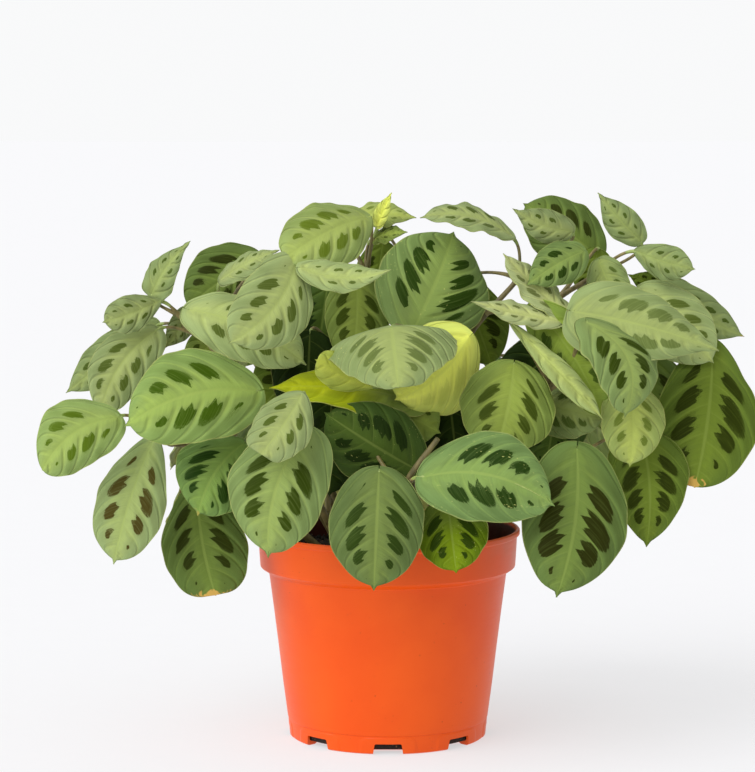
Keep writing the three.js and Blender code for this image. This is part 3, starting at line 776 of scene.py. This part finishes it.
def make_shoot(name, stem_points, leaves):
    """One shoot: its stem and petioles are one piece, and its blades are another."""
    stem = smooth_stem(stem_points)
    curve = bpy.data.curves.new(f"stems_{name}", "CURVE")
    curve.dimensions = "3D"
    curve.bevel_depth = 1
    curve.bevel_resolution = 3
    curve.use_fill_caps = True
    for skin in (stem_skin, petiole_skin, joint_skin):
        curve.materials.append(skin)
    below = stem[0] - [0, 0, STEM_SUNK]
    taper = np.linspace(*STEM_TAPER, len(stem))
    add_stalk(curve, [below, *stem], [1.1 * STEM_R, *(taper * STEM_R)], 0)
    blades = []
    for leaf in leaves:
        node = POINTS_PER_NODE * round(leaf["on"] * STEM_NODES)
        after = min(node + 1, len(stem) - 1)
        ahead = stem[after] - stem[after - 1]
        ahead = ahead / np.linalg.norm(ahead)
        start = stem[node] - ahead * STEM_R
        reach = np.linalg.norm(leaf["base"] - start)
        into = leaf["tip"] - leaf["base"]
        into = into / np.linalg.norm(into)
        rib_r = np.interp(RIB_ALONG, [0, 0.1, 0.9], [1.1, 0.75, 0.2]) * MM
        beneath = -BLADE_THICK - 0.85 * rib_r
        rib, _ = blade_surface(leaf, RIB_ALONG, np.zeros(len(RIB_ALONG)), beneath)
        path = interpolate_bezier(
            Vector(start),
            Vector(start + ahead * 0.2 * reach),
            Vector(leaf["base"] - into * 0.3 * reach),
            Vector(rib[0]),
            PETIOLE_POINTS,
        )
        along = np.linspace(0, 1, len(path))
        sheath = np.clip((along - 0.05) / 0.4, 0, 1)
        radii = SHEATH_R + (PETIOLE_R - SHEATH_R) * sheath
        add_stalk(curve, path, radii, 1)
        joint = max(0.5, 1 - JOINT_LENGTH / reach)
        last = [p for p, a in zip(path, along) if a >= joint][:-1]
        swell = np.interp(range(len(last)), [0, len(last) / 2, len(last)], [PETIOLE_R, JOINT_R, JOINT_R])
        add_stalk(curve, [*last, *rib], [*swell, *rib_r], 2)
        blades.append(make_blade(leaf))
    stalks = bpy.data.objects.new(f"stems_{name}", curve)
    bpy.context.scene.collection.objects.link(stalks)
    bpy.ops.object.select_all(action="DESELECT")
    stalks.select_set(True)
    bpy.context.view_layer.objects.active = stalks
    bpy.ops.object.convert(target="MESH")
    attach(stalks, "root")
    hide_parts(f"shoot_{name}")

    bpy.ops.object.select_all(action="DESELECT")
    for blade in blades:
        blade.select_set(True)
    bpy.context.view_layer.objects.active = blades[0]
    bpy.ops.object.join()
    leaves_object = bpy.context.object
    leaves_object.name = f"leaves_{name}"
    leaves_object.data.materials.append(leaf_top)
    leaves_object.data.materials.append(leaf_under)
    body = leaves_object.modifiers.new("body", "SOLIDIFY")
    body.thickness = BLADE_THICK
    body.offset = -1
    body.material_offset = 1
    body.material_offset_rim = 0
    bpy.ops.object.modifier_apply(modifier="body")
    bpy.ops.object.shade_smooth_by_angle(angle=BLADE_CREASE)
    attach(leaves_object, "root")
    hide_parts(f"shoot_{name}")


# Shoots of the best side
# Twelve shoots carry the leaves that face the eye. A leaf's ends are given as
# they line up for that eye: across and up in the upright plane through the
# pot's axis, and how far toward the eye they are, in mm.
FRONT_FACE = np.array([0, -1, 0.1]) / math.hypot(1, 0.1)
ROOT_Z = 107
# Stem points [x, y, z] from the soil up, the first one at ROOT_Z, and leaves
# [place on the stem, base, tip, width, roll, arch of the midrib, sway to the
# side, fold, tone].
FRONT_SHOOTS = {
    "left_high": (
        [[-26, -8], [-62, -14, 170], [-98, -16, 222], [-117, -19, 241]],
        [
            [1.00, [-133, 251, 20], [-111, 281, 26], 20, -20, 0.08, -1, 0.25, "dusk"],
            [0.96, [-129, 247, 24], [-161, 235, 38], 21, 0, 0.06, -1, 0.25, "sage"],
            [0.80, [-131, 233, 2], [-182, 195, 0], 27, 5, 0.07, 0, 0.2, "dusk"],
            [0.86, [-131, 230, 22], [-163, 182, 38], 34, 8, 0.08, 5, 0.2, "sage"],
            [0.75, [-92, 230, -6], [-118, 206, 4], 22, 0, 0.06, 0, 0.2, "olive"],
            [0.90, [-112, 242, 4], [-127, 220, 14], 15, -20, 0.06, -1, 0.3, "sage"],
        ],
    ),
    "left_mid": (
        [[-36, -18], [-70, -34, 140], [-102, -44, 168], [-120, -50, 172]],
        [
            [0.72, [-74, 196, 68], [-149, 176, 92], 53, 12, 0.1, 6, 0.15, "lime"],
            [1.00, [-153, 181, 78], [-196, 151, 94], 38, 4, 0.08, 6, 0.15, "leaf"],
            [0.90, [-133, 168, 60], [-156, 97, 68], 39, 8, 0.07, 1, 0.15, "rust"],
            [0.62, [-108, 145, 34], [-98, 79, 50], 47, 4, 0.07, 2, 0.15, "dark"],
            [0.60, [-82, 166, 56], [-108, 125, 74], 46, 6, 0.08, 4, 0.12, "green"],
        ],
    ),
    "left_crown": (
        [[-22, 4], [-46, 2, 160], [-76, -8, 216], [-90, -14, 240]],
        [
            [0.90, [-112, 242, 36], [-46, 211, 48], 42, -30, 0.08, -3, 0.2, "chalk"],
            [0.86, [-52, 269, 52], [-90, 223, 84], 42, -12, 0.08, -6, 0.2, "chalk"],
            [1.00, [-73, 272, -34], [-114, 243, -16], 43, 10, 0.08, 0, 0.15, "dark"],
            [0.96, [-94, 259, 12], [-61, 276, 20], 19, -45, 0.06, 0, 0.2, "sage"],
        ],
    ),
    "left_front": (
        [[-24, -30], [-38, -52, 140], [-46, -66, 164], [-50, -72, 178]],
        [
            [0.80, [-46, 173, 92], [-68, 101, 114], 53, 6, 0.07, 6, 0.15, "mid"],
            [1.00, [-49, 194, 98], [-72, 160, 116], 31, 10, 0.1, -2, 0.15, "sage"],
            [0.30, [-38, 222, 16], [-72, 186, 30], 44, 4, 0.08, 0, 0.15, "moss"],
            [0.30, [-32, 192, 36], [-33, 136, 50], 38, 0, 0.08, 0, 0.15, "shade"],
        ],
    ),
    "top_left": (
        [[-8, 6], [-12, 6, 170], [-12, 2, 230], [-12, -4, 262]],
        [
            [1.00, [-12, 294, 12], [-60, 270, 54], 40, 14, 0.12, 0, 0.15, "spring"],
            # This leaf's pale chalk tone is partly painted light, brighter than its own colour, as it
            # lies under the leaf above.
            [0.90, [-49, 266, 56], [2, 265, 60], 20, -30, -0.06, 4, 0.3, "chalk"],
            [0.84, [-18, 261, 14], [-21, 211, 32], 36, 0, 0.08, -2, 0.15, "olive"],
            [0.80, [-34, 256, -8], [-40, 212, 4], 40, 0, 0.08, 0, 0.15, "deep"],
            [0.97, [-21, 295, -12], [16, 294, -6], 24, -50, 0.06, 1, 0.3, "yellow"],
            [0.99, [-6, 289, 2], [2, 308, 8], 9, -20, 0.05, 0, 0.5, "gold"],
            [0.93, [-8, 283, -2], [11, 286, 8], 16, -50, 0.06, 1, 0.3, "olive"],
            [0.45, [-44, 228, 26], [-46, 178, 36], 42, 0, 0.08, 0, 0.15, "shade"],
        ],
    ),
    "heart": (
        [[10, -6], [20, -16, 160], [26, -26, 206], [24, -34, 224]],
        [
            [0.95, [14, 230, 38], [37, 286, 6], 65, 6, 0.07, 1, 0.12, "jade"],
            [1.00, [2, 232, 62], [6, 198, 106], 70, 0, 0.1, 0, 0.1, "ash"],
            [0.90, [46, 227, 52], [4, 191, 62], 50, -10, -0.06, -6, -0.2, "gold"],
            [0.88, [-10, 199, 60], [-41, 214, 80], 20, 10, 0, 0, 0, "honey"],
            [0.80, [18, 190, 44], [-67, 198, 70], 36, 50, 0.06, 0, 0.25, "lemon"],
            [0.90, [-3, 279, -24], [-8, 240, -12], 26, 0, 0.08, 0, 0.15, "moss"],
            [0.80, [34, 198, 14], [40, 148, 28], 38, 0, 0.08, 0, 0.15, "shade"],
        ],
    ),
    "front": (
        [[14, -34], [10, -70, 134], [10, -94, 157], [26, -102, 181]],
        [
            [0.70, [17, 151, 60], [-36, 184, 70], 46, -8, 0.1, 0, 0.15, "deep"],
            [0.60, [-20, 194, 34], [30, 172, 52], 46, -20, 0.1, 0, 0.15, "olive"],
            [0.60, [-5, 150, 100], [-8, 82, 116], 51, 0, 0.07, 0, 0.15, "grey"],
            [0.74, [20, 147, 104], [95, 130, 122], 49, -10, 0.08, -8, 0.12, "cool"],
            [0.50, [34, 133, 84], [39, 92, 102], 39, 0, 0.06, 0, 0.2, "bright"],
        ],
    ),
    "right_high": (
        [[22, -4], [34, -8, 170], [42, -14, 222], [72, -16, 260]],
        [
            [1.00, [42, 256, -14], [59, 210, -4], 36, 0, 0.08, 0, 0.15, "moss"],
            [1.00, [69, 284, 14], [18, 294, 26], 29, 58, 0.1, 3, 0.3, "sage"],
            [0.99, [103, 286, 16], [70, 299, 30], 19, -8, 0.05, -2, 0.25, "sage"],
            [0.96, [110, 275, 24], [78, 256, 44], 25, 6, 0.06, 1, 0.2, "jade"],
            [1.00, [96, 236, 52], [47, 247, 72], 20, 50, -0.02, 0, 0.3, "cream"],
            [0.90, [104, 237, 46], [65, 274, 38], 30, 55, -0.06, 2, 0.3, "cream"],
        ],
    ),
    "right_crown": (
        [[30, 16], [54, 22, 170], [86, 16, 236], [116, -4, 262]],
        [
            [0.90, [118, 272, -26], [76, 302, -36], 40, 14, 0.08, 0, 0.15, "dark"],
            [1.00, [142, 281, 10], [118, 308, 12], 19, -8, 0.05, -1, 0.3, "dusk"],
            [0.98, [140, 275, 16], [173, 265, 30], 20, 8, 0.06, 1, 0.2, "dusk"],
            [0.94, [119, 270, 12], [136, 240, 24], 24, 0, 0.06, 2, 0.2, "pale"],
            [0.92, [118, 275, -18], [111, 246, -26], 24, 6, 0.06, 0, 0.2, "moss"],
        ],
    ),
    "right_side": (
        [[38, 2], [82, 4, 172], [124, -4, 218], [150, -10, 230]],
        [
            [1.00, [154, 256, -4], [201, 227, -6], 26, -6, 0.05, 3, 0.2, "dusk"],
            [0.94, [142, 253, 14], [184, 212, 34], 39, -6, 0.08, 0, 0.15, "chalk"],
            [0.85, [146, 216, -6], [147, 158, 6], 52, 0, 0.08, 0, 0.15, "dark"],
            [0.88, [156, 254, -14], [135, 262, -10], 13, -10, 0.06, 0, 0.2, "moss"],
            [0.90, [183, 222, 24], [174, 141, 54], 57, 0, 0.06, -2, 0.15, "moss"],
            [0.80, [105, 241, 58], [187, 219, 72], 46, -20, 0.08, 0, 0.2, "ash"],
        ],
    ),
    "right_front": (
        [[30, -18], [60, -36, 160], [88, -48, 202], [100, -54, 216]],
        [
            [1.00, [112, 235, 78], [134, 181, 100], 44, -35, 0.13, -11, 0.15, "mid"],
            [0.90, [82, 243, 44], [122, 180, 64], 33, 12, 0.05, -5, 0.3, "leek"],
            [0.90, [71, 233, 56], [122, 180, 80], 14, -20, 0.05, 1, 0.3, "rim"],
            [0.70, [71, 211, 58], [60, 158, 82], 52, 4, 0.07, -2, 0.15, "olive"],
            [0.85, [136, 200, 62], [137, 153, 78], 35, 0, 0.07, -2, 0.2, "yellow"],
            [0.95, [98, 220, 6], [60, 194, 20], 34, 0, 0.08, 0, 0.15, "shade"],
            [0.80, [98, 206, 22], [89, 150, 34], 40, 0, 0.08, 0, 0.15, "deep"],
            [0.75, [86, 188, 40], [123, 180, 56], 34, -20, 0.08, 0, 0.2, "pale"],
        ],
    ),
    "right_low": (
        [[34, -24], [42, -44, 130], [68, -58, 152], [98, -66, 160]],
        [
            [1.00, [107, 163, 88], [96, 78, 106], 57, 0, 0.07, -4, 0.12, "fern"],
            [0.90, [144, 169, 50], [147, 107, 66], 44, 4, 0.07, -3, 0.15, "moss"],
            [0.50, [60, 150, -20], [64, 121, -14], 24, 0, 0.08, 0, 0.15, "shade"],
        ],
    ),
}


# How strongly the pale flecks and the scorched tip show on some of these leaves,
# which leaves have lost their point, and which are another tone at the base.
FLECKED = {("heart", 0): 0.5, ("heart", 1): 1, ("front", 0): 0.5, ("front", 3): 0.6, ("front", 4): 1}
SCORCHED = {("left_mid", 3): 1, ("left_mid", 4): 0.5, ("right_side", 0): 0.6, ("right_side", 4): 1}
# The olive base of the heart's lemon leaf is painted shade, where the leaf above shades it.
BASE_TONES = {("heart", 4): "olive", ("front", 4): "moss"}
# Where a leaf of an unusual outline is widest, from 0 at its base to 1 at its tip,
# and how much it narrows toward the tip.
OUTLINES = {
    ("left_high", 0): (0.22, 0.8),
    ("left_high", 1): (0.6, 0),
    ("left_mid", 2): (0.58, 0),
    ("left_mid", 3): (0.6, -0.3),
    ("left_front", 1): (0.55, -0.4),
    ("top_left", 0): (0.55, -0.1),
    ("heart", 1): (0.26, 0),
    ("heart", 3): (0.6, -0.1),
    ("heart", 4): (0.4, 0.3),
    ("right_crown", 2): (0.55, 0.2),
    ("right_side", 4): (0.56, 0),
    ("right_side", 5): (0.3, 0.6),
    ("right_front", 2): (0.6, 0.3),
    ("right_low", 1): (0.32, 0.2),
}
BLUNT = {("left_mid", 1), ("left_mid", 3), ("left_front", 1), ("heart", 1), ("right_side", 4)}


def seen_by_eye(across, up, toward):
    """The point that lies toward the eye from a point of the upright plane."""
    on_plane = np.array([across, 0, up]) * MM
    share = toward * MM / -EYE.y
    return on_plane + (np.array(EYE) - on_plane) * share


# A blade narrower than this is young: wider toward its base, more pointed and
# with smaller marks, the more so the nearer it is to the second width, in mm.
GROWN_WIDTH, NEW_WIDTH = 32, 20


def leaf_of(on, base, tip, face, form, tone, seed):
    width, roll, arch, sway, fold = form
    youth = np.clip((GROWN_WIDTH - width) / (GROWN_WIDTH - NEW_WIDTH), 0, 1)
    return {
        "on": on,
        "base": base,
        "tip": tip,
        "face": face,
        "width": width * MM,
        "roll": roll,
        "arch": arch,
        "sway": sway * MM,
        "fold": fold,
        "tone": tone,
        "base_tone": tone,
        "seed": seed,
        "widest": 0.46 - 0.06 * youth,
        "narrowing": 0.8 * youth,
        "blunt": False,
        "mark_size": 1 - 0.4 * youth,
        "flecks": 0,
        "scorch": 0,
    }


leaf_scatter = np.random.default_rng(23)
for shoot_name, (stem_line, rows) in FRONT_SHOOTS.items():
    line = [(x * MM, y * MM, (z[0] if z else ROOT_Z) * MM) for x, y, *z in stem_line]
    shoot_leaves = []
    for number, (on, base, tip, *form, tone) in enumerate(rows):
        ends = seen_by_eye(*base), seen_by_eye(*tip)
        leaf = leaf_of(on, *ends, FRONT_FACE, form, tone, leaf_scatter.random())
        leaf["flecks"] = FLECKED.get((shoot_name, number), 0)
        leaf["scorch"] = SCORCHED.get((shoot_name, number), 0)
        leaf["blunt"] = (shoot_name, number) in BLUNT
        leaf["base_tone"] = BASE_TONES.get((shoot_name, number), tone)
        if (shoot_name, number) in OUTLINES:
            leaf["widest"], leaf["narrowing"] = OUTLINES[(shoot_name, number)]
        shoot_leaves.append(leaf)
    make_shoot(shoot_name, line, shoot_leaves)

# Shoots of the far side
# Six shoots stand round the back in a fan, each with leaves in tiers from low
# and hanging to high and nearly flat.
BACK_DIRECTIONS = [12, 40, 68, 96, 124, 152]
BACK_STEM = [(26, ROOT_Z), (40, 150), (46, 190), (38, 222)]
# [place on the stem, base radius, base height, tip radius, tip height, turn from
#  the shoot's own direction in degrees, width, roll]
TIERS = [
    [0.45, 112, 150, 130, 90, 14, 46, 6],
    [0.70, 106, 188, 152, 142, -3, 48, -8],
    [0.86, 88, 214, 140, 196, 13, 46, 10],
    [0.95, 58, 230, 106, 220, -4, 38, -6],
    [1.00, 26, 240, 72, 244, 10, 38, 8],
]
# Shoot and tier, counted from 0, where no leaf grows.
NO_LEAF = {(0, 3), (0, 4), (2, 4), (4, 4), (5, 4)}
# The low leaf of the second shoot is turned further, so that the pot hides it.
BEHIND_POT = (1, 0)
TURNED_FURTHER = 16
# The fourth tier sits higher on every other shoot.
EVERY_OTHER_UP = 12
BACK_TONES = ["green", "mid", "lime", "sage", "moss", "pale", "dark"]
back_state = 11


def back_scatter():
    """The next number of a small repeatable scatter between -1 and 1."""
    global back_state
    back_state = back_state * 16807 % 2147483647
    return back_state / 2147483647 * 2 - 1


def around(direction, radius, height):
    angle = math.radians(direction)
    return np.array([radius * math.cos(angle), radius * math.sin(angle), height]) * MM


for k, direction in enumerate(BACK_DIRECTIONS):
    line = [around(direction, radius, z) for radius, z in BACK_STEM]
    shoot_leaves = []
    for tier, (on, base_r, base_z, tip_r, tip_z, turn, width, roll) in enumerate(TIERS):
        if (k, tier) in NO_LEAF:
            continue
        up = k % 2 * EVERY_OTHER_UP if tier == 3 else 0
        if (k, tier) == BEHIND_POT:
            turn += TURNED_FURTHER
        off = [back_scatter() for _ in range(6)]
        base = around(direction + turn + off[2] * 2, base_r + off[0] * 5, base_z + up + off[1] * 5)
        tip = around(direction + turn + off[5] * 5, tip_r + off[3] * 7, tip_z + up + off[4] * 8)
        face = np.array([base[0] + tip[0], base[1] + tip[1], 120 * MM])
        form = (width + off[0] * 4, roll + off[3] * 8, 0.09, off[4] * 4, 0.15)
        tone = BACK_TONES[(k * 3 + tier * 2) % len(BACK_TONES)]
        shoot_leaves.append(leaf_of(on, base, tip, face, form, tone, leaf_scatter.random()))
    make_shoot(f"back_{k + 1}", line, shoot_leaves)

bpy.data.objects.remove(flat_blade)
